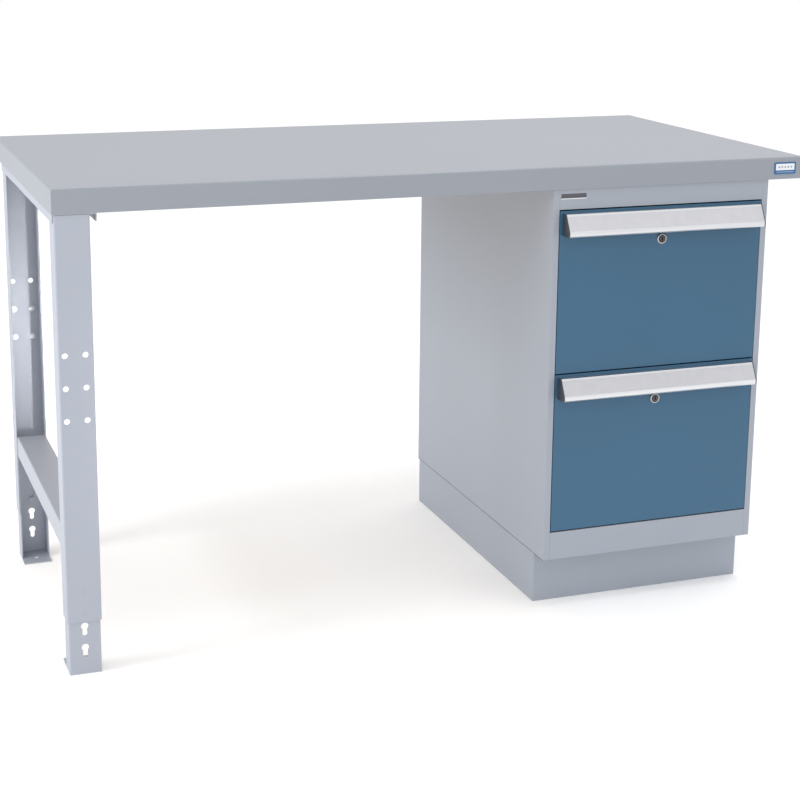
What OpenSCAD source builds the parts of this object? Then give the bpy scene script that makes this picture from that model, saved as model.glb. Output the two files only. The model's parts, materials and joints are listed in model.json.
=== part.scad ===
// Workbench: a steel-clad worktop on a leg frame at the left and a two-drawer pedestal at the right.
// The origin is on the floor, at the centre of the footprint. X runs to the right and -Y to the front.

/* [Worktop] */
// Length of the worktop
top_w = 1524; // [1400:1:1830]
// Depth of the worktop, front to back
top_d = 762; // [745:1:915]
// Height of the working surface above the floor
bench_h = 914; // [900:1:940]
// Thickness of the worktop's edge
top_t = 45; // [40:0.5:50]
// Outside bend radius along the worktop's upper edges
top_r = 4; // [3:0.5:6]
// Sheet thickness of the worktop's skin
skin_t = 2; // [1.5:0.1:2.5]

/* [Leg frame] */
// Width of an upright
leg_w = 64; // [60:1:72]
// Depth of an upright's flanges
leg_flange = 47; // [40:1:52]
// Sheet thickness of the leg frame
leg_t = 2; // [1.8:0.1:2.5]
// Gap from the worktop's left end to an upright
leg_inset_x = 3.2; // [3:0.1:10]
// Gap from the worktop's front edge to the front upright
leg_inset_front = 2; // [1:0.5:20]
// Gap from the worktop's back edge to the rear upright
leg_inset_back = 88; // [60:1:110]
// Height of an upright's lower end above the floor
leg_clear = 104; // [100:1:108]
// Diameter of the accessory holes in an upright
leg_hole_d = 11; // [8:0.5:12]
// Distance between the two columns of accessory holes
leg_hole_dx = 37; // [34:1:38]
// Distance of the accessory holes to the left of an upright's middle
leg_hole_shift = 1.5; // [0:0.5:3]
// Distance between the rows of accessory holes
leg_hole_dz = 61; // [55:1:65]
// Height of the middle row of accessory holes
leg_hole_z = 552; // [500:1:600]

/* [Feet] */
// Length of a foot channel
foot_len = 228; // [215:1:230]
// Depth of the folded foot plate
foot_plate_d = 80; // [70:1:90]
// Distance between two keyholes of a foot
key_pitch = 42; // [41:1:43]
// Diameter of a keyhole's round head
key_head_d = 14; // [13.5:0.5:15]
// Width of a keyhole's slot
key_slot_w = 9; // [8.5:0.5:9.5]
// Distance from a keyhole's head to the end of its slot
key_drop = 14.5; // [13:0.5:16]

/* [Pedestal] */
// Width of the pedestal
cab_w = 479; // [460:1:520]
// Depth of the pedestal without its handles
cab_d = 718; // [715:1:735]
// Gap from the worktop's right end to the pedestal
cab_inset_x = 78; // [20:1:120]
// Gap from the worktop's front edge to the pedestal's face
cab_inset_front = 4; // [0:0.5:10]
// Height of the plinth
plinth_h = 107; // [100:1:115]
// Setback of the plinth behind the pedestal's face
plinth_setback = 48; // [40:1:90]
// Sheet thickness of the pedestal
cab_t = 1.5; // [1.2:0.1:1.6]
// Width of the front stiles
stile_w = 13; // [13:0.5:14]
// Height of the rail above the drawers
top_rail_h = 40; // [36:1:44]
// Height of the rail below the drawers
bottom_rail_h = 58; // [50:1:62]

/* [Drawers] */
// Shadow gap above, between and below the drawer fronts
front_gap = 2.7; // [2:0.1:4]
// Depth of the folded drawer front
front_d = 24; // [22:1:25]
// Height of a drawer's tray
tray_h = 265; // [200:1:266]
// Depth of a drawer's tray, front to back
tray_d = 620; // [560:1:630]
// Sheet thickness of a drawer's tray
tray_t = 1.2; // [1:0.1:1.5]

/* [Handle and lock] */
// Height of the handle profile
handle_h = 43.5; // [42:0.5:46]
// Depth of the handle at its top
handle_top_d = 13; // [12:1:18]
// Distance from the top of a drawer front down to its handle
handle_drop = 5; // [2:0.5:6]
// Distance from either end of a drawer front to its handle
handle_margin = 6; // [3:0.5:12]
// Depth of the handle at its lip
handle_lip_d = 31; // [29:1:34]
// Wall thickness of the handle profile
handle_t = 2; // [1.8:0.1:2.4]
// Height of the lock's axis above a drawer front's lower edge
lock_rise = 262; // [261:0.5:263]
// Diameter of the lock's face
lock_face_d = 22; // [20:0.5:22]
// Diameter of the turning plug
plug_d = 12.6; // [12:0.1:13]

/* [Hidden] */
$fn = 64;
CUT = 1;           // how far a cutter runs past a face
FIT = 0.05;        // radial clearance of the turning plug
SLIDE_GAP = 0.4;   // clearance between parts that slide on each other

// colours
PALE_GREY = "#c6c7cb";
EDGE_GREY = "#a9b0bd";
CABINET_GREY = "#a4abb8";
DRAWER_BLUE = "#3f6a93";
ALUMINIUM = "#c9c9cc";
ZINC = "#b9bcc0";
BLACK_PLASTIC = "#2b2d33";
BOARD = "#b08d5f";

// worktop
top_x0 = -top_w / 2;
top_x1 = top_w / 2;
handle_proud = handle_lip_d - cab_inset_front;
top_y0 = (handle_proud - top_d) / 2;
top_y1 = top_y0 + top_d;
under_z = bench_h - top_t;
seam_w = 0.8;
seam_depth = 0.6;
plate_w = 50;
plate_h = 24;
plate_t = 1.2;
plate_x = top_x1 - 44;
plate_z = bench_h - 22.5;

// leg frame
leg_x0 = top_x0 + leg_inset_x;
leg_x1 = leg_x0 + leg_w;
leg_xc = (leg_x0 + leg_x1) / 2;
front_web_y = top_y0 + leg_inset_front;
rear_web_y = top_y1 - leg_inset_back;
bend_r = 3;
bar_t = 2;
bar_overhang = 13;
bar_drop = 16;
bar_x0 = top_x0 + 1;
bar_x1 = leg_x1 + bar_overhang;
bar_y0 = front_web_y;
bar_y1 = rear_web_y;
upright_top = under_z - bar_t;
crossbar_z1 = 280;
crossbar_h = 43;
crossbar_reach = 30;
leg_bolt_d = 8;
leg_bolt_len = 30;
leg_bolt_inset = 64;

// feet
foot_w = leg_w - 2 * leg_t - 2 * SLIDE_GAP;
foot_d = leg_flange - leg_t - 2;
foot_x0 = leg_x0 + leg_t + SLIDE_GAP;
key_z0 = 52.5;
key_rows = 4;
stud_d = 8;
stud_head_d = 12;
stud_head_t = 2;
anchor_d = 10;
anchor_inset = 48;

// pedestal
cab_x1 = top_x1 - cab_inset_x;
cab_x0 = cab_x1 - cab_w;
cab_xc = (cab_x0 + cab_x1) / 2;
cab_y0 = top_y0 + cab_inset_front;
cab_y1 = cab_y0 + cab_d;
stile_return = 16;
rail_return = 22;
open_x0 = cab_x0 + stile_w;
open_x1 = cab_x1 - stile_w;
open_z0 = plinth_h + bottom_rail_h;
open_z1 = under_z - top_rail_h;
window_w = 54;
window_h = 10.5;
window_x0 = open_x0 + 3;
window_z0 = under_z - 19.5;
plinth_t = 2;
plinth_inset_back = 6;
pan_bolt_d = 8;
pan_bolt_inset = 70;
post_w = 32;
post_y = [cab_y0 + 52, cab_y0 + 590];
post_d = stile_w - cab_t + 1;
divider_y0 = cab_y0 + 30;
divider_d = 18;
divider_h = 22;

// drawers, numbered from the lowest
DRAWER_NAMES = ["lower", "upper"];
drawer_n = len(DRAWER_NAMES);
front_w = open_x1 - open_x0 - 3;
front_x0 = open_x0 + 1.5;
front_h = (open_z1 - open_z0 - (drawer_n + 1) * front_gap) / drawer_n;
front_t = 1.2;
tray_rise = 17;
tray_y0 = cab_y0 + front_d;
slide_w = 13;
slide_h = 45;
slide_t = 1.4;
slide_len = 600;
slide_y0 = cab_y0 + 26;
slide_rise = 78;
mid_len = 560;
tray_x0 = open_x0 + 1 + slide_w;
tray_x1 = open_x1 - 1 - slide_w;
rim = 8;

// handle
cap_t = 2;
handle_x0 = front_x0 + handle_margin + cap_t;
handle_x1 = front_x0 + front_w - handle_margin - cap_t;
lip_h = 10;
lip_back = 9;
label_t = 0.8;
label_margin = 4;

// lock
lock_face_t = 3;
lock_body_d = 18;
lock_len = front_d + 6;
nut_t = 4;
nut_af = 24;
plug_proud = 0.6;
keyway_w = 1.8;
keyway_h = 7.5;
keyway_depth = 8;
cam_w = 14;
cam_len = 38;
cam_t = 3;
cam_y0 = cab_y0 + lock_len + 2;
strike_t = 2;
strike_w = 60;
strike_y1 = divider_y0;
strike_reach = 26;

function leg_hole_x(side) = leg_xc - leg_hole_shift + side * leg_hole_dx / 2;
function drawer_z(i) = open_z0 + front_gap + i * (front_h + front_gap);
function lock_z(i) = drawer_z(i) + lock_rise;
function rail_z(i) = drawer_z(i) + front_h + front_gap / 2;

FRAME_NODES = [
  "worktop_skin", "worktop_core", "name_plate",
  "front_upright", "rear_upright", "leg_top_bar", "leg_crossbar", "foot_studs",
  "leg_bolts", "accessory_bolts", "front_foot", "rear_foot",
  "housing_left_side", "housing_right_side", "housing_back", "housing_top_pan", "housing_bottom_pan",
  "top_rail", "bottom_rail", "divider_rail", "window_insert",
  "plinth_skirt", "plinth_back", "left_posts", "right_posts", "pedestal_bolts"
];
DRAWER_PARTS = [
  "strike", "tray", "front_panel", "handle", "cap_left", "cap_right", "label_strip",
  "lock_barrel", "lock_nut", "lock_plug", "lock_cam",
  "rail_left", "rail_right", "mid_left", "mid_right", "runner_left", "runner_right"
];

// ---- helpers ----

// A box between two corners
module block(low, high) {
  translate(low) cube(high - low);
}

// A rectangle with its two corners at y = 0 rounded
module bent_outline(w, d, r) {
  translate([0, r]) square([w, d - r]);
  translate([r, 0]) square([w - 2 * r, d]);
  translate([r, r]) circle(r);
  translate([w - r, r]) circle(r);
}

// A folded channel section: web along y = 0, flanges towards +Y
module channel_outline(w, d, t, r) {
  difference() {
    bent_outline(w, d, r);
    translate([t, t]) bent_outline(w - 2 * t, d, max(r - t, 0.2));
  }
}

// A hole or a rod along Y
module along_y(x, z, y0, y1, d) {
  translate([x, y0, z]) rotate([-90, 0, 0]) cylinder(h = y1 - y0, d = d);
}

// A hole or a rod along Z
module along_z(x, y, z0, z1, d) {
  translate([x, y, z0]) cylinder(h = z1 - z0, d = d);
}

// Moves its children to the right-hand side of the pedestal
module on_side(right) {
  if (right) translate([cab_x0 + cab_x1, 0, 0]) mirror([1, 0, 0]) children();
  else children();
}

// ---- worktop ----

// The solid that the worktop fills, bent down along all four edges
module worktop_solid(inset, r) {
  w = top_w - 2 * inset;
  d = top_d - 2 * inset;
  h = top_t - inset;
  intersection() {
    translate([top_x0 + inset, top_y1 - inset, under_z + h])
      rotate([90, 0, 0]) linear_extrude(d) mirror([0, 1]) bent_outline(w, h, r);
    translate([top_x0 + inset, top_y0 + inset, under_z + h])
      rotate([90, 0, 90]) linear_extrude(w) mirror([0, 1]) bent_outline(d, h, r);
  }
}

module worktop_skin() {
  color(PALE_GREY) difference() {
    worktop_solid(0, top_r);
    for (drop = [0, CUT]) translate([0, 0, -drop]) worktop_solid(skin_t, top_r - skin_t);
    for (x = [top_x0, top_x1], y = [top_y0, top_y1]) {
      side = y == top_y0 ? 1 : -1;
      translate([x - seam_depth, y + side * (skin_t + seam_w) - seam_w / 2, under_z - CUT])
        cube([2 * seam_depth, seam_w, top_t - top_r + CUT]);
    }
  }
}

module worktop_core() {
  color(BOARD) difference() {
    worktop_solid(skin_t, top_r - skin_t);
    leg_bolt_places() along_z(0, 0, under_z - CUT, under_z + leg_bolt_len, leg_bolt_d);
    pedestal_bolt_places() along_z(0, 0, under_z - CUT, under_z + leg_bolt_len, pan_bolt_d);
  }
}

// A blank plate on the front edge
module name_plate() {
  color(DRAWER_BLUE) translate([plate_x, top_y0, plate_z]) rotate([90, 0, 0])
    linear_extrude(plate_t) union() {
      square([plate_w, plate_h - 4], center = true);
      square([plate_w - 4, plate_h], center = true);
      for (x = [-1, 1], z = [-1, 1]) translate([x * (plate_w / 2 - 2), z * (plate_h / 2 - 2)]) circle(2);
    }
}

// ---- leg frame ----

module leg_bolt_places() {
  for (y = [bar_y0 + leg_bolt_inset, bar_y1 - leg_bolt_inset], x = [leg_xc - 16, leg_xc + 16])
    translate([x, y, 0]) children();
}

// An upright with its web at y = 0 and its flanges towards +Y
module upright() {
  difference() {
    translate([leg_x0, 0, leg_clear])
      linear_extrude(upright_top - leg_clear) channel_outline(leg_w, leg_flange, leg_t, bend_r);
    for (x = [-1, 1], row = [-1, 0, 1])
      along_y(leg_hole_x(x), leg_hole_z + row * leg_hole_dz, -CUT, leg_t + CUT, leg_hole_d);
    for (z = stud_z) along_y(leg_xc, z, -CUT, leg_t + CUT, stud_d);
  }
}

// A foot in an upright whose web is at y = 0
module foot() {
  web_y = leg_t + SLIDE_GAP;
  difference() {
    union() {
      translate([foot_x0, web_y, 0])
        linear_extrude(foot_len) channel_outline(foot_w, foot_d, leg_t, bend_r - 1);
      block([foot_x0, web_y, 0], [foot_x0 + foot_w, foot_plate_d, leg_t]);
    }
    for (row = [0:key_rows - 1]) translate([0, 0, key_z0 + row * key_pitch]) {
      along_y(leg_xc, 0, web_y - CUT, web_y + leg_t + CUT, key_head_d);
      along_y(leg_xc, -key_drop, web_y - CUT, web_y + leg_t + CUT, key_slot_w);
      block([leg_xc - key_slot_w / 2, web_y - CUT, -key_drop], [leg_xc + key_slot_w / 2, web_y + leg_t + CUT, 0]);
    }
    along_z(leg_xc, anchor_inset, -CUT, leg_t + CUT, anchor_d);
  }
}

// Rivet studs that the keyholes of a foot hang on, in an upright whose web is at y = 0
module studs() {
  head_y = 2 * leg_t + 2 * SLIDE_GAP;
  for (z = stud_z) {
    along_y(leg_xc, z, 0, head_y, stud_d);
    along_y(leg_xc, z, head_y, head_y + stud_head_t, stud_head_d);
  }
}

// Heights of the two studs: at the ends of the slots of the third and the fourth keyhole
stud_z = [for (row = [2, 3]) key_z0 - key_drop + row * key_pitch + (key_slot_w - stud_d) / -2 + SLIDE_GAP];

module at_front() {
  translate([0, front_web_y, 0]) children();
}

module at_rear() {
  translate([0, rear_web_y, 0]) mirror([0, 1, 0]) children();
}

module front_upright() {
  color(EDGE_GREY) at_front() upright();
}

module rear_upright() {
  color(EDGE_GREY) at_rear() upright();
}

module front_foot() {
  color(EDGE_GREY) at_front() foot();
}

module rear_foot() {
  color(EDGE_GREY) at_rear() foot();
}

module foot_studs() {
  color(ZINC) {
    at_front() studs();
    at_rear() studs();
  }
}

// Channel that carries the worktop; its flanges end on a slant
module leg_top_bar() {
  slant = 6;
  bar_l = bar_y1 - bar_y0;
  bar_w = bar_x1 - bar_x0;
  color(EDGE_GREY) difference() {
    intersection() {
      translate([bar_x0, bar_y1, under_z])
        rotate([90, 0, 0]) linear_extrude(bar_l) mirror([0, 1]) channel_outline(bar_w, bar_drop, bar_t, bend_r);
      translate([bar_x0 - CUT, bar_y0, under_z - bar_drop]) rotate([90, 0, 90]) linear_extrude(bar_w + 2 * CUT)
        polygon([[slant, 0], [bar_l - slant, 0], [bar_l, bar_drop], [0, bar_drop]]);
    }
    leg_bolt_places() along_z(0, 0, under_z - bar_drop, under_z + CUT, leg_bolt_d);
  }
}

// Channel between the uprights, web up, whose flanges reach between those of the uprights
module leg_crossbar() {
  w = leg_w - 2 * leg_t;
  y0 = front_web_y + leg_flange;
  y1 = rear_web_y - leg_flange;
  color(EDGE_GREY) difference() {
    translate([leg_x0 + leg_t, y1 + crossbar_reach, crossbar_z1])
      rotate([90, 0, 0]) linear_extrude(y1 - y0 + 2 * crossbar_reach)
        mirror([0, 1]) channel_outline(w, crossbar_h, leg_t, bend_r);
    for (y = [[y0 - crossbar_reach - CUT, y0], [y1, y1 + crossbar_reach + CUT]])
      block([leg_x0 + 2 * leg_t + 1, y[0], crossbar_z1 - 2 * bend_r], [leg_x1 - 2 * leg_t - 1, y[1], crossbar_z1 + CUT]);
  }
}

// A hexagon bolt that points up, with the underside of its head at z = 0
module bolt_up(d, len) {
  cylinder(h = len, d = d);
  translate([0, 0, -0.6 * d]) cylinder(h = 0.6 * d, d = 1.9 * d, $fn = 6);
}

module leg_bolts() {
  color(ZINC) leg_bolt_places() translate([0, 0, under_z - bar_t]) bolt_up(leg_bolt_d, leg_bolt_len);
}

// Pan-head bolts with nuts in the two lower rows of the rear upright
module accessory_bolts() {
  color(ZINC) at_rear() for (x = [-1, 1], row = [-1, 0]) {
    bolt_x = leg_hole_x(x);
    bolt_z = leg_hole_z + row * leg_hole_dz;
    along_y(bolt_x, bolt_z, 0, leg_t, leg_hole_d);
    along_y(bolt_x, bolt_z, -3, 0, 15);
    translate([bolt_x, leg_t, bolt_z]) rotate([-90, 0, 0]) cylinder(h = 3, d = 14, $fn = 6);
    along_y(bolt_x, bolt_z, leg_t + 3, leg_t + 6, 8);
  }
}

// ---- pedestal ----

// A side sheet with its folded front stile
module housing_side() {
  difference() {
    block([cab_x0, cab_y0, plinth_h], [open_x0, cab_y1, under_z]);
    block([cab_x0 + cab_t, cab_y0 + cab_t, plinth_h - CUT], [open_x0 + CUT, cab_y1 + CUT, under_z + CUT]);
  }
  block([open_x0 - cab_t, cab_y0 + cab_t, open_z0], [open_x0, cab_y0 + stile_return, open_z1]);
}

module housing_left_side() {
  color(CABINET_GREY) housing_side();
}

module housing_right_side() {
  color(CABINET_GREY) on_side(true) housing_side();
}

module housing_back() {
  color(CABINET_GREY)
    block([cab_x0 + cab_t, cab_y1 - cab_t, plinth_h + cab_t], [cab_x1 - cab_t, cab_y1, under_z - cab_t]);
}

module pedestal_bolt_places() {
  for (x = [cab_x0 + pan_bolt_inset, cab_x1 - pan_bolt_inset], y = [cab_y0 + pan_bolt_inset, cab_y1 - pan_bolt_inset])
    translate([x, y, 0]) children();
}

module housing_top_pan() {
  color(CABINET_GREY) difference() {
    block([cab_x0 + cab_t, cab_y0 + cab_t, under_z - cab_t], [cab_x1 - cab_t, cab_y1, under_z]);
    pedestal_bolt_places() along_z(0, 0, under_z - 2 * cab_t, under_z + CUT, pan_bolt_d);
  }
}

module housing_bottom_pan() {
  color(CABINET_GREY)
    block([cab_x0 + cab_t, cab_y0 + cab_t, plinth_h], [cab_x1 - cab_t, cab_y1, plinth_h + cab_t]);
}

// Rail above the drawers, folded back along its lower edge, with the window of a label holder
module top_rail() {
  color(CABINET_GREY) difference() {
    union() {
      block([open_x0, cab_y0, open_z1], [open_x1, cab_y0 + cab_t, under_z]);
      block([open_x0, cab_y0 + cab_t, open_z1], [open_x1, cab_y0 + rail_return, open_z1 + cab_t]);
    }
    block([window_x0, cab_y0 - CUT, window_z0], [window_x0 + window_w, cab_y0 + cab_t + CUT, window_z0 + window_h]);
  }
}

module window_insert() {
  color(BLACK_PLASTIC) block([window_x0 - 4, cab_y0 + cab_t, window_z0 - 4],
    [window_x0 + window_w + 4, cab_y0 + cab_t + 1, window_z0 + window_h + 4]);
}

module bottom_rail() {
  color(CABINET_GREY) {
    block([open_x0, cab_y0, plinth_h], [open_x1, cab_y0 + cab_t, open_z0]);
    block([open_x0, cab_y0 + cab_t, open_z0 - cab_t], [open_x1, cab_y0 + rail_return, open_z0]);
  }
}

// Cross channel behind the gap between two drawer fronts
module divider_rail() {
  z = rail_z(0);
  color(CABINET_GREY) translate([cab_x0 + cab_t, divider_y0, z - divider_h / 2])
    rotate([90, 0, 90]) linear_extrude(cab_w - 2 * cab_t) difference() {
      square([divider_d, divider_h]);
      translate([cab_t, cab_t]) square([divider_d, divider_h - 2 * cab_t]);
    }
}

module plinth_skirt() {
  x0 = cab_x0 + 1;
  x1 = cab_x1 - 1;
  y0 = cab_y0 + plinth_setback;
  y1 = cab_y1 - plinth_inset_back;
  color(CABINET_GREY) difference() {
    block([x0, y0, 0], [x1, y1, plinth_h]);
    block([x0 + plinth_t, y0 + plinth_t, -CUT], [x1 - plinth_t, y1 + CUT, plinth_h + CUT]);
  }
}

module plinth_back() {
  y1 = cab_y1 - plinth_inset_back;
  color(CABINET_GREY) block([cab_x0 + 1 + plinth_t, y1 - plinth_t, 0], [cab_x1 - 1 - plinth_t, y1, plinth_h]);
}

// Upright posts inside one side of the housing, which the slides hang on
module posts() {
  for (y = post_y)
    block([cab_x0 + cab_t, y, plinth_h + cab_t], [cab_x0 + cab_t + post_d, y + post_w, under_z - cab_t]);
}

module left_posts() {
  color(ZINC) posts();
}

module right_posts() {
  color(ZINC) on_side(true) posts();
}

module pedestal_bolts() {
  color(ZINC) pedestal_bolt_places() translate([0, 0, under_z - cab_t]) bolt_up(pan_bolt_d, leg_bolt_len);
}

// ---- slides: three channels nested along X, from the post inwards ----

// One slide channel: its web starts at x, and its flanges run to x + depth
module slide_channel(i, x, depth, h, y0, len, web_inside) {
  z = drawer_z(i) + slide_rise;
  web_x = web_inside ? depth - slide_t : 0;
  translate([open_x0 + 1 + x, y0, z - h / 2]) {
    translate([web_x, 0, 0]) cube([slide_t, len, h]);
    cube([depth, len, slide_t]);
    translate([0, 0, h - slide_t]) cube([depth, len, slide_t]);
  }
}

module slide_rail(i, right) {
  color(ZINC) on_side(right) slide_channel(i, 0, 9, slide_h, slide_y0, slide_len, false);
}

module slide_mid(i, right) {
  h = slide_h - 2 * (slide_t + SLIDE_GAP);
  color(ZINC) on_side(right) slide_channel(i, slide_t + SLIDE_GAP, 9, h, slide_y0 + 2, mid_len, false);
}

module slide_runner(i, right) {
  h = slide_h - 4 * (slide_t + SLIDE_GAP);
  x = 2 * (slide_t + SLIDE_GAP);
  color(ZINC) on_side(right) slide_channel(i, x, slide_w - x, h, slide_y0, slide_len - 4, true);
}

// ---- drawers ----

// Folded sheet tray, with its rims turned in and a window round the lock
module tray(i) {
  low = [tray_x0, tray_y0, drawer_z(i) + tray_rise];
  high = [tray_x1, tray_y0 + tray_d, low[2] + tray_h];
  wall = [tray_t, tray_t, tray_t];
  color(CABINET_GREY) difference() {
    block(low, high);
    block(low + wall, [high[0] - tray_t, high[1] - tray_t, high[2] - tray_t]);
    block(low + wall + [rim, 0, 0], [high[0] - tray_t - rim, high[1] - tray_t, high[2] + CUT]);
    block([cab_xc - 50, tray_y0 - CUT, lock_z(i) - 16], [cab_xc + 50, tray_y0 + 2 * tray_t, high[2] + CUT]);
  }
}

// Folded front, open towards the tray, with the hole of the lock
module front_panel(i) {
  low = [front_x0, cab_y0, drawer_z(i)];
  high = low + [front_w, front_d, front_h];
  color(DRAWER_BLUE) difference() {
    block(low, high);
    block(low + [front_t, front_t, front_t], [high[0] - front_t, high[1] - front_t, high[2] - front_t]);
    block(low + [30, front_t, 30], [high[0] - 30, high[1] + CUT, lock_z(i) - 20]);
    along_y(cab_xc, lock_z(i), cab_y0 - CUT, cab_y0 + front_d + CUT, lock_body_d);
  }
}

// Side view of the handle: x is the distance in front of the drawer, y the height below its top
module handle_outline() {
  polygon([
    [0, 0], [handle_top_d, 0], [handle_lip_d, handle_h - lip_h],
    [handle_lip_d, handle_h - 3], [handle_lip_d - 3, handle_h], [0, handle_h]
  ]);
}

// Distance of the handle's sloping face in front of the drawer, at a height below its top
function face_x(y) = handle_top_d + (handle_lip_d - handle_top_d) * y / (handle_h - lip_h);

// Shallow seat of the label strip in the sloping face
module label_seat() {
  y0 = label_margin;
  y1 = handle_h - lip_h - label_margin / 2;
  polygon([
    [face_x(y0) - label_t, y0], [face_x(y1) - label_t, y1],
    [face_x(y1) + CUT, y1], [face_x(y0) + CUT, y0]
  ]);
}

// Section of the handle profile: top flange, back leg, sloping face and rolled lip, open below
module handle_section() {
  difference() {
    handle_outline();
    polygon([
      [handle_t, handle_t], [handle_top_d - handle_t / 2, handle_t],
      [handle_lip_d - handle_t - 0.4, handle_h - lip_h],
      [handle_lip_d - handle_t, handle_h - lip_h + 3],
      [handle_lip_d - handle_t, handle_h - 3.6], [handle_lip_d - 3.6, handle_h - handle_t],
      [handle_lip_d - lip_back, handle_h - handle_t], [handle_lip_d - lip_back, handle_h + CUT],
      [handle_t, handle_h + CUT]
    ]);
    label_seat();
  }
}

// Stands a handle section in front of drawer i, from x0 to x1
module along_handle(i, x0, x1) {
  translate([x0, cab_y0, drawer_z(i) + front_h - handle_drop]) rotate([0, 90, 0]) linear_extrude(x1 - x0)
    mirror([0, 1]) rotate(-90) mirror([1, 0]) children();
}

module handle(i) {
  color(ALUMINIUM) along_handle(i, handle_x0, handle_x1) handle_section();
}

module end_cap(i, x) {
  color(BLACK_PLASTIC) along_handle(i, x, x + cap_t) handle_outline();
}

// Strip that fills the shallow seat in the handle's sloping face
module label_strip(i) {
  color(PALE_GREY) along_handle(i, handle_x0, handle_x1) intersection() {
    handle_outline();
    label_seat();
  }
}

// ---- locks ----

module lock_barrel(i) {
  z = lock_z(i);
  color(ZINC) difference() {
    union() {
      along_y(cab_xc, z, cab_y0 - lock_face_t, cab_y0, lock_face_d);
      along_y(cab_xc, z, cab_y0, cab_y0 + lock_len, lock_body_d);
    }
    along_y(cab_xc, z, cab_y0 - lock_face_t - CUT, cab_y0 + lock_len + CUT, plug_d + 2 * FIT);
  }
}

module lock_nut(i) {
  y = cab_y0 + front_d;
  color(ZINC) difference() {
    translate([cab_xc, y, lock_z(i)]) rotate([-90, 30, 0]) cylinder(h = nut_t, d = nut_af / cos(30), $fn = 6);
    along_y(cab_xc, lock_z(i), y - CUT, y + nut_t + CUT, lock_body_d);
  }
}

module lock_plug(i) {
  z = lock_z(i);
  y0 = cab_y0 - lock_face_t - plug_proud;
  color(ZINC) difference() {
    along_y(cab_xc, z, y0, cam_y0, plug_d);
    block([cab_xc - keyway_w / 2, y0 - CUT, z - keyway_h / 2], [cab_xc + keyway_w / 2, y0 + keyway_depth, z + keyway_h / 2]);
  }
}

// Cam on the tail of the plug, lying to the right while unlocked
module lock_cam(i) {
  color(ZINC) translate([cab_xc, cam_y0, lock_z(i)]) rotate([-90, 0, 0]) {
    cylinder(h = cam_t, d = cam_w);
    translate([0, -cam_w / 2, 0]) cube([cam_len, cam_w, cam_t]);
    translate([0, 0, cam_t]) cylinder(h = 3, d = 8, $fn = 6);
  }
}

// Plate that the cam turns up behind, hung from the rail above the drawer
module strike(i) {
  uppermost = i == drawer_n - 1;
  seat_z = open_z1 + cab_t;
  top_z = uppermost ? seat_z + strike_t : rail_z(i) + divider_h / 2;
  x0 = cab_xc - strike_w / 2;
  x1 = cab_xc + strike_w / 2;
  color(ZINC) {
    block([x0, strike_y1 - strike_t, lock_z(i) + strike_reach], [x1, strike_y1, top_z]);
    if (uppermost) block([x0, cab_y0 + cab_t, seat_z], [x1, strike_y1 - strike_t, top_z]);
  }
}

// ---- the whole bench ----

worktop_skin();
worktop_core();
name_plate();
front_upright();
rear_upright();
leg_top_bar();
leg_crossbar();
foot_studs();
leg_bolts();
accessory_bolts();
front_foot();
rear_foot();
housing_left_side();
housing_right_side();
housing_back();
housing_top_pan();
housing_bottom_pan();
top_rail();
bottom_rail();
divider_rail();
window_insert();
plinth_skirt();
plinth_back();
left_posts();
right_posts();
pedestal_bolts();

for (i = [0:drawer_n - 1]) {
  name = DRAWER_NAMES[i];
  strike(i);
  tray(i);
  front_panel(i);
  handle(i);
  end_cap(i, handle_x0 - cap_t);
  end_cap(i, handle_x1);
  label_strip(i);
  lock_barrel(i);
  lock_nut(i);
  lock_plug(i);
  lock_cam(i);
  slide_rail(i, false);
  slide_rail(i, true);
  slide_mid(i, false);
  slide_mid(i, true);
  slide_runner(i, false);
  slide_runner(i, true);
}
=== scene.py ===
import json
import math

import bmesh
import bpy
from mathutils import Matrix, Vector

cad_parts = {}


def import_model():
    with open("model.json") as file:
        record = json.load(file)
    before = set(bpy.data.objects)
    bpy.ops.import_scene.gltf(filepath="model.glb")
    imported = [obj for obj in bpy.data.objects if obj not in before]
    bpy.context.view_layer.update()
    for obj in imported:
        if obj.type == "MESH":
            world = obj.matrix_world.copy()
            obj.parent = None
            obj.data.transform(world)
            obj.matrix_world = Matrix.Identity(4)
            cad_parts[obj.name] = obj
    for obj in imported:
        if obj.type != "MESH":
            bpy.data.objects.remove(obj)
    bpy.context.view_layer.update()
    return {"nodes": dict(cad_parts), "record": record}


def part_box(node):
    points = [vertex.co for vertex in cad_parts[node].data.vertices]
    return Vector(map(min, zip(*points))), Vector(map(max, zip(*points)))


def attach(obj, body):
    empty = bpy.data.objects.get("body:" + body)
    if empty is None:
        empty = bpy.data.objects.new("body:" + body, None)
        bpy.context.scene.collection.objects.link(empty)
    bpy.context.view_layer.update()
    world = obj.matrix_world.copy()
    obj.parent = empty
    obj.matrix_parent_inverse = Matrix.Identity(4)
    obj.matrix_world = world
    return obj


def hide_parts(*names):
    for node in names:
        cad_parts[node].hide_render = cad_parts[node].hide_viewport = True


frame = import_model()
NODES = frame["nodes"]
DRAWERS = ("lower", "upper")
MM = 0.001


# ---- node graph helpers ----

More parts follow.
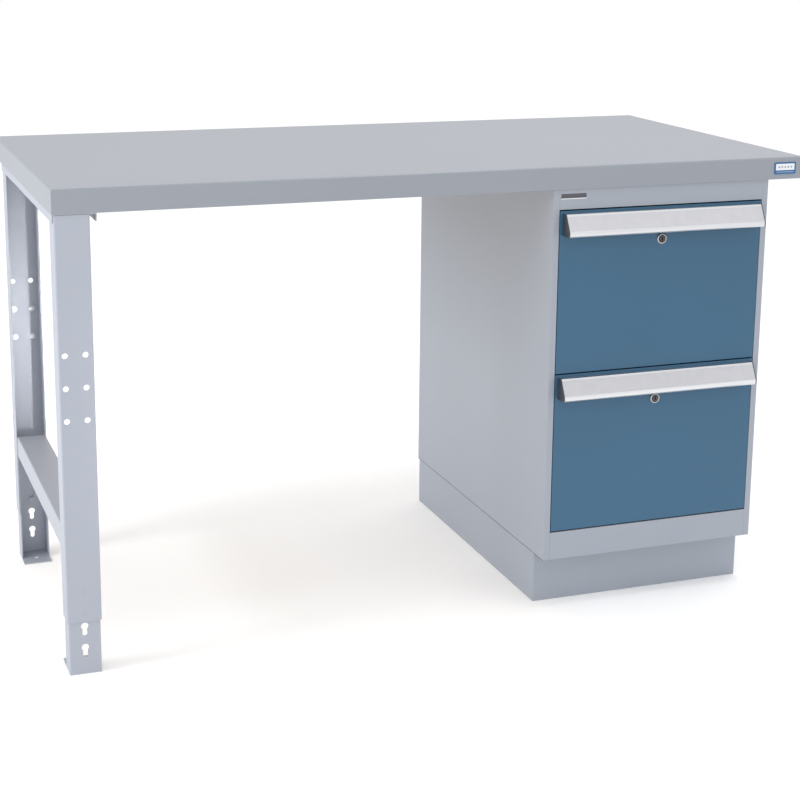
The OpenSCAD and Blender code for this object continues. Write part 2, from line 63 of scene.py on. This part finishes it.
class Graph:
    """A material's node graph, with short ways to add and join its nodes."""

    def __init__(self, name):
        self.mat = bpy.data.materials.new(name)
        self.mat.use_nodes = True
        self.tree = self.mat.node_tree
        self.shader = self.tree.nodes["Principled BSDF"]
        self.coord = self.add("ShaderNodeTexCoord").outputs["Object"]

    def add(self, kind, **settings):
        node = self.tree.nodes.new(kind)
        for key, value in settings.items():
            setattr(node, key, value)
        return node

    def join(self, output, socket):
        self.tree.links.new(output, socket)

    def stretch(self, scale, rotation=(0, 0, 0)):
        """Object coordinates scaled and turned, for a pattern with a direction."""
        node = self.add("ShaderNodeMapping")
        node.inputs["Scale"].default_value = scale
        node.inputs["Rotation"].default_value = rotation
        self.join(self.coord, node.inputs["Vector"])
        return node.outputs["Vector"]

    def noise(self, scale, detail=2.0, rough=0.5, vector=None):
        node = self.add("ShaderNodeTexNoise")
        node.inputs["Scale"].default_value = scale
        node.inputs["Detail"].default_value = detail
        node.inputs["Roughness"].default_value = rough
        self.join(vector or self.coord, node.inputs["Vector"])
        return node.outputs["Fac"]

    def cells(self, scale, vector=None, output="Color"):
        node = self.add("ShaderNodeTexVoronoi")
        node.inputs["Scale"].default_value = scale
        self.join(vector or self.coord, node.inputs["Vector"])
        return node.outputs[output]

    def span(self, value, low, high, to_low, to_high):
        """A value moved from the range low..high to the range to_low..to_high."""
        node = self.add("ShaderNodeMapRange")
        for key, number in (("From Min", low), ("From Max", high), ("To Min", to_low), ("To Max", to_high)):
            node.inputs[key].default_value = number
        self.join(value, node.inputs["Value"])
        return node.outputs["Result"]

    def math(self, operation, a, b):
        node = self.add("ShaderNodeMath", operation=operation)
        for socket, value in zip(node.inputs, (a, b)):
            if isinstance(value, (int, float)):
                socket.default_value = value
            else:
                self.join(value, socket)
        return node.outputs["Value"]

    def blend(self, share, a, b):
        """Colour a where share is 0 and colour b where it is 1."""
        node = self.add("ShaderNodeMix", data_type="RGBA")
        self.join(share, node.inputs["Factor"])
        for socket, value in ((node.inputs[6], a), (node.inputs[7], b)):
            if isinstance(value, tuple):
                socket.default_value = (*value, 1)
            else:
                self.join(value, socket)
        return node.outputs[2]

    def bump(self, height, strength, distance, after=None):
        node = self.add("ShaderNodeBump")
        node.inputs["Strength"].default_value = strength
        node.inputs["Distance"].default_value = distance
        self.join(height, node.inputs["Height"])
        if after is not None:
            self.join(after, node.inputs["Normal"])
        return node.outputs["Normal"]

    def finish(self, colour, rough, normal, **constants):
        self.join(colour, self.shader.inputs["Base Color"])
        self.join(rough, self.shader.inputs["Roughness"])
        if normal is not None:
            self.join(normal, self.shader.inputs["Normal"])
        for key, value in constants.items():
            self.shader.inputs[key.replace("_", " ")].default_value = value
        return self.mat


def tint(colour, gain):
    """A colour made lighter or darker, and never brighter than white."""
    return tuple(min(1.0, c * gain) for c in colour)


# ---- materials ----

def powder_coat(name, colour, rough=0.42, spread=0.03, grain=1.0):
    """Baked powder paint: a fine orange-peel skin, slow drifts in thickness, and rare dust specks."""
    g = Graph(name)
    drift = g.noise(1.7, 2.0)
    fine = g.noise(900.0, 2.0)
    share = g.math("ADD", g.math("MULTIPLY", drift, 0.6), g.math("MULTIPLY", fine, 0.4))
    base = g.blend(g.span(share, 0.35, 0.65, 0.0, 1.0), tint(colour, 1 - spread), tint(colour, 1 + spread))
    dust = g.span(g.cells(70.0, output="Distance"), 0.0, 0.035, 0.3, 0.0)
    base = g.blend(dust, base, tint(colour, 0.88))
    peel = g.noise(480.0, 2.0)
    waves = g.noise(150.0, 1.0)
    normal = g.bump(waves, 0.06 * grain, 0.0005)
    normal = g.bump(peel, 0.14 * grain, 0.0002, normal)
    roughness = g.span(g.noise(700.0, 3.0, 0.6), 0.3, 0.7, rough - 0.03, rough + 0.03)
    return g.finish(base, roughness, normal)


def brushed(name, colour, rough):
    """Drawn metal with fine lines along x."""
    g = Graph(name)
    lines = g.noise(1.0, 3.0, 0.6, g.stretch((9.0, 1400.0, 1400.0)))
    bands = g.noise(1.0, 2.0, 0.5, g.stretch((2.0, 160.0, 160.0)))
    share = g.math("ADD", g.math("MULTIPLY", lines, 0.6), g.math("MULTIPLY", bands, 0.4))
    base = g.blend(g.span(share, 0.3, 0.7, 0.0, 1.0), tint(colour, 0.93), tint(colour, 1.05))
    roughness = g.span(lines, 0.25, 0.75, rough - 0.07, rough + 0.08)
    return g.finish(base, roughness, g.bump(lines, 0.10, 0.0002), Metallic=1.0)


def galvanised(name, colour, rough=0.38):
    """Zinc plating with faint spangles and handling haze."""
    g = Graph(name)
    spangle = g.cells(210.0)
    haze = g.noise(14.0, 5.0, 0.6)
    share = g.add("ShaderNodeSeparateColor")
    g.join(spangle, share.inputs["Color"])
    base = g.blend(share.outputs[0], tint(colour, 0.86), tint(colour, 1.08))
    base = g.blend(g.span(haze, 0.35, 0.75, 0.0, 0.35), base, tint(colour, 0.72))
    roughness = g.span(share.outputs[1], 0.0, 1.0, rough - 0.09, rough + 0.12)
    return g.finish(base, roughness, g.bump(g.noise(700.0, 2.0), 0.08, 0.0002), Metallic=1.0)


def polished(name, colour, rough=0.14):
    """Plated lock metal with hairline scratches."""
    g = Graph(name)
    scratches = g.noise(1.0, 4.0, 0.65, g.stretch((90.0, 90.0, 2600.0), (0.3, 0.5, 0.8)))
    haze = g.noise(260.0, 3.0)
    base = g.blend(g.span(haze, 0.3, 0.7, 0.0, 1.0), tint(colour, 0.92), tint(colour, 1.04))
    roughness = g.span(scratches, 0.35, 0.75, rough - 0.04, rough + 0.14)
    return g.finish(base, roughness, g.bump(scratches, 0.05, 0.0001), Metallic=1.0)


def moulded(name, colour, rough=0.45, spread=0.08):
    """Moulded plastic with a fine spark-eroded grain."""
    g = Graph(name)
    drift = g.noise(60.0, 3.0)
    base = g.blend(g.span(drift, 0.3, 0.7, 0.0, 1.0), tint(colour, 1 - spread), tint(colour, 1 + spread))
    grain = g.noise(1900.0, 2.0)
    roughness = g.span(g.noise(240.0, 3.0), 0.3, 0.7, rough - 0.06, rough + 0.06)
    return g.finish(base, roughness, g.bump(grain, 0.14, 0.0002))


def particle_board(name):
    """Pressed wood chips, for the worktop's core."""
    g = Graph(name)
    chip_space = g.stretch((180.0, 240.0, 420.0), (0.2, 0.1, 0.4))
    chips = g.cells(1.0, chip_space)
    split = g.add("ShaderNodeSeparateColor")
    g.join(chips, split.inputs["Color"])
    base = g.blend(split.outputs[0], (0.36, 0.23, 0.12), (0.66, 0.48, 0.29))
    base = g.blend(g.span(g.noise(320.0, 4.0), 0.52, 0.70, 0.0, 0.8), base, (0.20, 0.12, 0.06))
    edges = g.cells(1.0, chip_space, "Distance")
    return g.finish(base, g.span(g.noise(90.0), 0.3, 0.7, 0.72, 0.9), g.bump(edges, 0.5, 0.0006))


TOP_GREY = (0.262, 0.283, 0.322)
LEG_GREY = (0.365, 0.392, 0.452)
CAB_GREY = (0.312, 0.340, 0.392)
BLUE = (0.030, 0.105, 0.188)

PAINT_TOP = powder_coat("worktop_paint", TOP_GREY, 0.36, 0.02, 0.3)
PAINT_LEG = powder_coat("leg_paint", LEG_GREY, 0.42, 0.025, 1.0)
PAINT_CAB = powder_coat("cabinet_paint", CAB_GREY, 0.42, 0.025, 1.0)
PAINT_BLUE = powder_coat("drawer_paint", BLUE, 0.40, 0.05, 1.0)
ALUMINIUM = brushed("anodised_aluminium", (0.72, 0.73, 0.75), 0.33)
STRIP = moulded("label_strip_plastic", (0.50, 0.50, 0.53), 0.38, 0.03)
ZINC = galvanised("zinc_plate", (0.66, 0.67, 0.69))
# The lock platings are darkened, the plug's to near black, to stand in for dark surroundings seen in their
# reflections (painted reflection).
CHROME_PAINTED_REFLECTION = polished("lock_plating_painted_reflection", (0.40, 0.39, 0.39), 0.12)
CHROME_DARK_PAINTED_REFLECTION = polished("lock_plug_plating_painted_reflection", (0.085, 0.085, 0.095), 0.20)
# A dark grey for the card window's insert: a plastic part, with its tone set to the shade inside the recess
# (painted shade).
RECESS_PAINTED_SHADE = moulded("card_pocket_plastic_painted_shade", (0.085, 0.085, 0.102), 0.5)
BLACK = moulded("black_plastic", (0.035, 0.040, 0.052), 0.42)
ENAMEL = powder_coat("plate_enamel", (0.02, 0.12, 0.30), 0.22, 0.03, 0.4)
ENAMEL_PALE = powder_coat("plate_enamel_pale", (0.74, 0.76, 0.78), 0.25, 0.02, 0.4)
ENAMEL_LIGHT = powder_coat("plate_enamel_light", (0.30, 0.36, 0.44), 0.25, 0.03, 0.4)
# A pale paint for the card window's lip: a painted highlight standing in for the bright line of light along
# it.
LIP_PAINTED_HIGHLIGHT = powder_coat("card_pocket_lip_painted_highlight", (0.72, 0.73, 0.76), 0.30, 0.02, 0.4)
# A dark paint that stands in for the shadow in the gap at the plinth (painted shadow).
SEAM_PAINTED_SHADOW = powder_coat("seam_shadow_paint", (0.10, 0.105, 0.125), 0.6, 0.03, 0.4)
BOARD = particle_board("particle_board")

LOOKS = {
    "worktop_paint": PAINT_TOP,
    "leg_paint": PAINT_LEG,
    "cabinet_paint": PAINT_CAB,
    "drawer_paint": PAINT_BLUE,
    "aluminium": ALUMINIUM,
    "zinc": ZINC,
    "chrome": CHROME_PAINTED_REFLECTION,
    "black_plastic": BLACK,
    "label_plastic": STRIP,
    "plate_enamel": ENAMEL,
    "board": BOARD,
}
SLOT_OF = {entry["node"]: entry["material_slot"] for entry in frame["record"]["subparts"]}


# ---- the CAD nodes: finish, and softened edges ----

WELD_GAP = 0.00001
SHARP_ANGLE = math.radians(35)


def weigh_normals(obj):
    """Normals weighed by face area, so that flats stay flat and turned faces stay round."""
    normals = obj.modifiers.new("normals", "WEIGHTED_NORMAL")
    normals.weight = 100
    return normals


def soften(obj, width):
    """Rounds the sharp edges of a thin-sheet mesh a little, so that they catch the light."""
    weld = obj.modifiers.new("weld", "WELD")
    weld.merge_threshold = WELD_GAP
    bevel = obj.modifiers.new("edge", "BEVEL")
    bevel.width = width
    bevel.segments = 2
    bevel.limit_method = "ANGLE"
    bevel.angle_limit = SHARP_ANGLE
    bevel.use_clamp_overlap = False
    bevel.miter_outer = "MITER_ARC"
    bevel.loop_slide = False
    weigh_normals(obj).keep_sharp = False


# Edge widths in metres. The worktop's core and the feet keep the edges that they have.
OWN_EDGE = {
    "worktop_core": 0.0, "front_foot": 0.0, "rear_foot": 0.0,
    "name_plate": 0.0003, "leg_crossbar": 0.0003, "window_insert": 0.0002,
}
SMALL_EDGE = 0.00025
SHEET_EDGE = 0.0004
LARGE_EDGE = 0.0005
SMALL_WORDS = ("lock", "label_strip", "stud", "mid_", "runner", "rail_")
LARGE_WORDS = ("_panel", "housing")
LARGE_NODES = ("top_rail", "bottom_rail", "plinth_skirt")


def edge_width(name):
    if name in OWN_EDGE:
        return OWN_EDGE[name]
    if any(word in name for word in SMALL_WORDS):
        return SMALL_EDGE
    if name in LARGE_NODES or any(word in name for word in LARGE_WORDS):
        return LARGE_EDGE
    return SHEET_EDGE


# The card window's insert takes the plastic with painted shade.
OWN_LOOK = {"window_insert": RECESS_PAINTED_SHADE}
# Each lock plug takes the plating darkened as a painted reflection.
for drawer_name in DRAWERS:
    OWN_LOOK[drawer_name + "_lock_plug"] = CHROME_DARK_PAINTED_REFLECTION

for node_name, node in NODES.items():
    look = OWN_LOOK.get(node_name, LOOKS[SLOT_OF[node_name]])
    node.data.materials.clear()
    node.data.materials.append(look)
    width = edge_width(node_name)
    if width > 0:
        soften(node, width)


# ---- shapes for the added pieces ----

def piece(name, mesh, look, body):
    """Turns a bmesh into a named piece that rides on a body."""
    data = bpy.data.meshes.new(name)
    bmesh.ops.recalc_face_normals(mesh, faces=mesh.faces)
    mesh.to_mesh(data)
    mesh.free()
    data.materials.append(look)
    for face in data.polygons:
        face.use_smooth = True
    obj = bpy.data.objects.new(name, data)
    bpy.context.scene.collection.objects.link(obj)
    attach(obj, body)
    return obj


def lathe(mesh, profile, centre, axis, steps=32):
    """Turns a profile of (radius, along) points about an axis through centre."""
    turn = axis.to_track_quat("Z", "Y").to_matrix()
    rings = []
    for radius, along in profile:
        if radius == 0:
            rings.append([mesh.verts.new(centre + turn @ Vector((0, 0, along)))])
            continue
        ring = []
        for k in range(steps):
            a = 2 * math.pi * k / steps
            spot = Vector((radius * math.cos(a), radius * math.sin(a), along))
            ring.append(mesh.verts.new(centre + turn @ spot))
        rings.append(ring)
    for one, two in zip(rings, rings[1:]):
        for k in range(steps):
            j = (k + 1) % steps
            if len(one) == 1:
                mesh.faces.new((one[0], two[k], two[j]))
            elif len(two) == 1:
                mesh.faces.new((one[k], one[j], two[0]))
            else:
                mesh.faces.new((one[k], one[j], two[j], two[k]))


def slab(mesh, low, high, round_off):
    """A box between two corners, with its edges rounded by round_off."""
    place = Matrix.Translation((low + high) / 2) @ Matrix.Diagonal((*(high - low), 1.0))
    made = bmesh.ops.create_cube(mesh, size=1.0, matrix=place)["verts"]
    edges = list({e for v in made for e in v.link_edges})
    bmesh.ops.bevel(mesh, geom=edges, offset=round_off, segments=3, affect="EDGES", profile=0.5)


def prism(mesh, corners, radius, centre, axis, thickness, turn=0.0):
    """A regular prism with a chamfered outer rim, such as a nut."""
    facing = axis.to_track_quat("Z", "Y").to_matrix()
    rings = []
    for scale, along in ((0.90, 0.0), (1.0, 0.12), (1.0, 0.88), (0.90, 1.0)):
        ring = []
        for k in range(corners):
            a = turn + 2 * math.pi * k / corners
            spot = Vector((radius * scale * math.cos(a), radius * scale * math.sin(a), thickness * along))
            ring.append(mesh.verts.new(centre + facing @ spot))
        rings.append(ring)
    for one, two in zip(rings, rings[1:]):
        for k in range(corners):
            j = (k + 1) % corners
            mesh.faces.new((one[k], one[j], two[j], two[k]))
    mesh.faces.new(rings[0])
    mesh.faces.new(rings[-1])


def in_mm(profile):
    """An outline written in millimetres, turned into metres."""
    return [(a * MM, b * MM) for a, b in profile]


# ---- the added pieces ----

FRONT = Vector((0, -1, 0))
BACK = Vector((0, 1, 0))

LEG_SHEET = 2 * MM
BOLT_DOME = in_mm([(0, 2.9), (2.5, 2.8), (4.8, 2.3), (6.4, 1.4), (7.2, 0.5), (7.3, 0), (4.0, 0), (4.0, -2.0)])
NUT_FLANGE = in_mm([(4.0, 0), (6.9, 0), (7.0, 0.3), (6.6, 0.7), (5.6, 1.0), (4.0, 1.0)])


def bolt_end():
    """The end of a bolt that stands out of its nut, with three turns of thread."""
    outline = [(3.9, 4.0)]
    for k in range(3):
        outline += [(3.9, 4.3 + 0.5 * k), (3.5, 4.55 + 0.5 * k)]
    return in_mm(outline + [(3.0, 5.9), (0, 5.95)])


def make_leg_fasteners():
    """Round-head bolts with flanged nuts in the rear upright."""
    low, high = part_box("accessory_bolts")
    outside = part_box("rear_upright")[1].y
    inside = outside - LEG_SHEET
    head_radius = 7.5 * MM
    nut_radius = 6.6 * MM
    nut_height = 3.6 * MM
    nut_turn = 0.35
    mesh = bmesh.new()
    for x in (low.x + head_radius, high.x - head_radius):
        for z in (low.z + head_radius, high.z - head_radius):
            lathe(mesh, BOLT_DOME, Vector((x, outside, z)), BACK)
            lathe(mesh, NUT_FLANGE, Vector((x, inside, z)), FRONT)
            prism(mesh, 6, nut_radius, Vector((x, inside - 0.7 * MM, z)), FRONT, nut_height, nut_turn)
            lathe(mesh, bolt_end(), Vector((x, inside, z)), FRONT, 20)
    made = piece("leg_accessory_fasteners", mesh, ZINC, "frame")
    weigh_normals(made)
    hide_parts("accessory_bolts")


def bezel_outline(inner, outer, length):
    """A lock's profile: the bore, the groove round the plug, the rounded rim, and a threaded body."""
    face = 3 * MM
    body = 9 * MM
    root = 8.5 * MM
    pitch = 1.2 * MM
    outline = [
        (inner, length), (inner, 1.6 * MM), (inner + 0.7 * MM, 1.5 * MM), (inner + 1.0 * MM, 0.5 * MM),
        (inner + 1.5 * MM, 0.05 * MM), (outer - 2.2 * MM, 0), (outer - 1.0 * MM, 0.35 * MM),
        (outer - 0.25 * MM, 1.2 * MM), (outer, 2.2 * MM), (outer, face), (body, face),
    ]
    along = face + 1.5 * MM
    while along < length - 2 * MM:
        outline += [(body, along), (root, along + pitch / 2)]
        along += pitch
    return outline + [(8.8 * MM, length - MM), (8.2 * MM, length), (inner, length)]


def make_locks():
    """The turned barrel of each lock, in place of the plain one."""
    for drawer in DRAWERS:
        low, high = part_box(drawer + "_lock_barrel")
        plug_low, plug_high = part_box(drawer + "_lock_plug")
        centre = Vector(((low.x + high.x) / 2, low.y, (low.z + high.z) / 2))
        inner = (plug_high.x - plug_low.x) / 2 + 0.05 * MM
        outer = (high.x - low.x) / 2
        mesh = bmesh.new()
        lathe(mesh, bezel_outline(inner, outer, high.y - low.y), centre, BACK, 48)
        bmesh.ops.remove_doubles(mesh, verts=mesh.verts, dist=0.001 * MM)
        made = piece(drawer + "_lock_bezel", mesh, CHROME_PAINTED_REFLECTION, drawer + "_drawer")
        weigh_normals(made)
        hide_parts(drawer + "_lock_barrel")


def make_name_plate():
    """A pale field, a row of plain studs and a bar under them, on the blank plate."""
    low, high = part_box("name_plate")
    face = low.y
    middle_z = (low.z + high.z) / 2
    proud = 0.3 * MM
    sunk = 0.4 * MM
    mesh = bmesh.new()
    slab(mesh, Vector((low.x + 3.5 * MM, face - proud, low.z + 8 * MM)),
         Vector((high.x - 3.5 * MM, face + sunk, high.z - 3 * MM)), 0.25 * MM)
    weigh_normals(piece("name_plate_field", mesh, ENAMEL_PALE, "frame"))
    stud_count = 5
    stud_radius = 2.6 * MM
    stud_height = 0.35 * MM
    mark_proud = 0.25 * MM
    mesh = bmesh.new()
    for k in range(stud_count):
        x = low.x + (high.x - low.x) * (k + 1.5) / (stud_count + 2)
        prism(mesh, 4, stud_radius, Vector((x, face - mark_proud, middle_z + 2.5 * MM)), FRONT, stud_height)
    slab(mesh, Vector((low.x + 5 * MM, face - mark_proud, low.z + 3.5 * MM)),
         Vector((high.x - 5 * MM, face + sunk, low.z + 5 * MM)), 0.2 * MM)
    weigh_normals(piece("name_plate_studs", mesh, ENAMEL_LIGHT, "frame"))


LIP_OUTLINE = in_mm([
    (1.3, -0.2), (0.2, -0.2), (-0.5, 0.2), (-0.8, 0.9), (-0.6, 1.6), (0.1, 2.0), (0.7, 1.7), (1.3, 1.0),
])


def make_card_pocket():
    """The rolled lip along the lower edge of the card window in the top rail, painted pale as a painted
    highlight along the lip.
    """
    low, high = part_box("window_insert")
    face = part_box("top_rail")[0].y
    hidden_rim = 4 * MM
    bottom = low.z + hidden_rim
    mesh = bmesh.new()
    ends = []
    for x in (low.x + hidden_rim, high.x - hidden_rim):
        ends.append([mesh.verts.new((x, face + y, bottom + z)) for y, z in LIP_OUTLINE])
    for k in range(len(LIP_OUTLINE)):
        j = (k + 1) % len(LIP_OUTLINE)
        mesh.faces.new((ends[0][k], ends[0][j], ends[1][j], ends[1][k]))
    mesh.faces.new(ends[0])
    mesh.faces.new(ends[1])
    weigh_normals(piece("card_pocket_lip", mesh, LIP_PAINTED_HIGHLIGHT, "frame"))


def make_weld_beads():
    """Rippled fillet welds where the crossbar meets the flanges of the uprights."""
    low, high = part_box("leg_crossbar")
    ripple = 1.6 * MM
    end_gap = 3 * MM
    count = int((high.z - low.z - 2 * end_gap) / ripple)
    bead_size = Matrix.Diagonal((1.5 * MM, 1.9 * MM, 1.5 * MM, 1.0))
    joint_ys = (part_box("front_upright")[1].y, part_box("rear_upright")[0].y)
    mesh = bmesh.new()
    for y in joint_ys:
        for x in (low.x, high.x):
            for k in range(count):
                place = Matrix.Translation((x, y, low.z + end_gap + ripple * k)) @ bead_size
                bmesh.ops.create_uvsphere(mesh, u_segments=10, v_segments=6, radius=1.0, matrix=place)
    piece("crossbar_welds", mesh, PAINT_LEG, "frame")


def make_plinth_painted_shadow():
    """A dark strip along each side of the housing where it stands on the plinth: a painted shadow for the gap
    between them.
    """
    proud = 0.15 * MM
    sunk = 0.8 * MM
    below = 0.9 * MM
    above = 0.3 * MM
    end_gap = 1.5 * MM
    mesh = bmesh.new()
    for side, outward in (("housing_left_side", -1), ("housing_right_side", 1)):
        low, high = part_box(side)
        face = low.x if outward < 0 else high.x
        left, right = sorted((face + outward * proud, face - outward * sunk))
        slab(mesh, Vector((left, low.y + end_gap, low.z - below)),
             Vector((right, high.y - end_gap, low.z + above)), 0.1 * MM)
    weigh_normals(piece("plinth_painted_shadow", mesh, SEAM_PAINTED_SHADOW, "frame"))


make_plinth_painted_shadow()
make_leg_fasteners()
make_locks()
make_name_plate()
make_card_pocket()
make_weld_beads()


# ---- floor, lights and camera ----

def floor():
    """A plain white studio floor that glows a little, so that it stays white under the bench."""
    mesh = bmesh.new()
    half = 9.0
    glow = 0.12
    for x, y in ((-half, -half), (half, -half), (half, half), (-half, half)):
        mesh.verts.new((x, y, 0))
    mesh.faces.new(mesh.verts)
    data = bpy.data.meshes.new("floor")
    mesh.to_mesh(data)
    mesh.free()
    g = Graph("floor_paint")
    base = g.blend(g.span(g.noise(0.8, 3.0), 0.3, 0.7, 0.0, 1.0), (0.91, 0.91, 0.91), (0.94, 0.94, 0.94))
    g.shader.inputs["Emission Color"].default_value = (1, 1, 1, 1)
    rough = g.span(g.noise(30.0), 0.3, 0.7, 0.85, 0.95)
    data.materials.append(g.finish(base, rough, None, Emission_Strength=glow))
    obj = bpy.data.objects.new("floor", data)
    bpy.context.scene.collection.objects.link(obj)


def lamp(name, place, aim, size, power, spread=180):
    """A soft rectangular lamp aimed at a point, with its beam narrowed to spread degrees."""
    data = bpy.data.lights.new(name, "AREA")
    data.shape = "RECTANGLE"
    data.size, data.size_y = size
    data.energy = power
    data.spread = math.radians(spread)
    obj = bpy.data.objects.new(name, data)
    obj.location = place
    obj.rotation_mode = "QUATERNION"
    obj.rotation_quaternion = (Vector(aim) - Vector(place)).to_track_quat("-Z", "Y")
    bpy.context.scene.collection.objects.link(obj)


def world():
    """An even white studio all round."""
    made = bpy.data.worlds.new("studio")
    made.use_nodes = True
    background = made.node_tree.nodes["Background"]
    background.inputs["Color"].default_value = (1.0, 1.0, 1.0, 1)
    background.inputs["Strength"].default_value = 1.0
    bpy.context.scene.world = made


def camera():
    """The photo's view: seen from the front left, a little above the worktop."""
    azimuth = math.radians(20.255)
    elevation = math.radians(12.797)
    roll = math.radians(0.578)
    data = bpy.data.cameras.new("camera")
    data.lens = 77.257
    data.shift_y = -0.12
    obj = bpy.data.objects.new("camera", data)
    obj.location = (-1.2122, -3.3478, 1.3870)
    level = math.cos(elevation)
    look = Vector((math.sin(azimuth) * level, math.cos(azimuth) * level, -math.sin(elevation)))
    turn = look.to_track_quat("-Z", "Y").to_matrix() @ Matrix.Rotation(roll, 3, "Z")
    obj.rotation_mode = "QUATERNION"
    obj.rotation_quaternion = turn.to_quaternion()
    bpy.context.scene.collection.objects.link(obj)
    bpy.context.scene.camera = obj


floor()
world()
lamp("fill", (-0.6, -4.4, 1.0), (-0.3, 0, 0.45), (1.6, 1.2), 12)
lamp("side", (-3.5, -0.5, 1.6), (0, 0, 0.35), (1.1, 0.9), 42)
lamp("strip", (0.9, -0.55, 3.6), (0.3, -0.35, 0.9), (1.6, 0.12), 26)
# The last lamp reaches in under the worktop, to the inside of the rear upright.
lamp("gridded", (0.6, -3.0, 0.2), (-0.69, 0.3, 0.52), (0.2, 0.4), 0.36, 9)
camera()
bpy.context.scene.view_settings.view_transform = "Standard"
